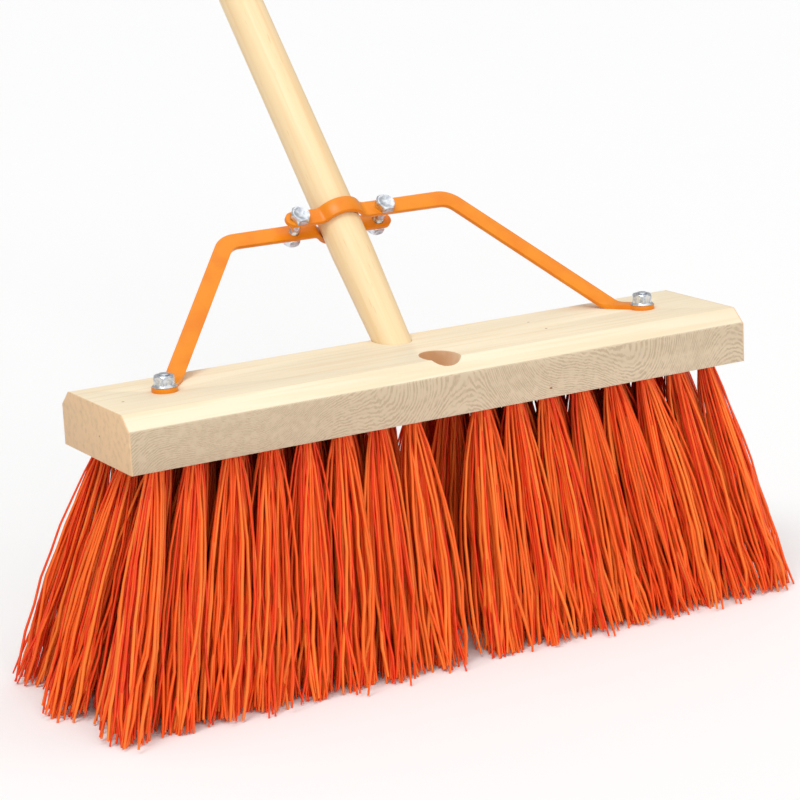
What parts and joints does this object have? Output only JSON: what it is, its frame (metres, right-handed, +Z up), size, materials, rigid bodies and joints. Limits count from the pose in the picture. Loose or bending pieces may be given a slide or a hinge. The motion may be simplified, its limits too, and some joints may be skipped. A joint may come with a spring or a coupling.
{
  "type": "push broom",
  "caption": "Wide push broom: chamfered hardwood block with rows of splayed coarse orange bristle tufts, a long leaning wooden handle and a bolted orange strap brace.",
  "frame": {"origin": "on the floor, in the plane of the bristle tips, below the centre of the block", "axes": "+X along the block, +Y the side the handle leans to, +Z up"},
  "size_m": [0.456, 1.1098, 1.2898],
  "materials": {
    "block_wood": "satin",
    "handle_wood": "satin",
    "orange_paint": "satin",
    "zinc_steel": "satin",
    "bristle": "satin",
    "anchor_wire": "satin"
  },
  "bodies": {
    "head": {"block": "block_wood", "brace_arm_left": "orange_paint", "brace_arm_right": "orange_paint", "clamp_bolt_left": "zinc_steel", "clamp_nut_left": "zinc_steel", "foot_bolt_left": "zinc_steel", "foot_nut_left": "zinc_steel", "clamp_bolt_right": "zinc_steel", "clamp_nut_right": "zinc_steel", "foot_bolt_right": "zinc_steel", "foot_nut_right": "zinc_steel", "tuft_row_1": "bristle", "tuft_anchors_1": "anchor_wire", "tuft_row_2": "bristle", "tuft_anchors_2": "anchor_wire", "tuft_row_3": "bristle", "tuft_anchors_3": "anchor_wire", "tuft_row_4": "bristle", "tuft_anchors_4": "anchor_wire", "tuft_row_5": "bristle", "tuft_anchors_5": "anchor_wire"},
    "handle": {"handle": "handle_wood"}
  },
  "joints": [
    {"name": "handle_pull", "type": "slide", "parent": "head", "child": "handle", "axis": [0, 0.6691, 0.7431], "range_m": [0, 0.045]}
  ]
}
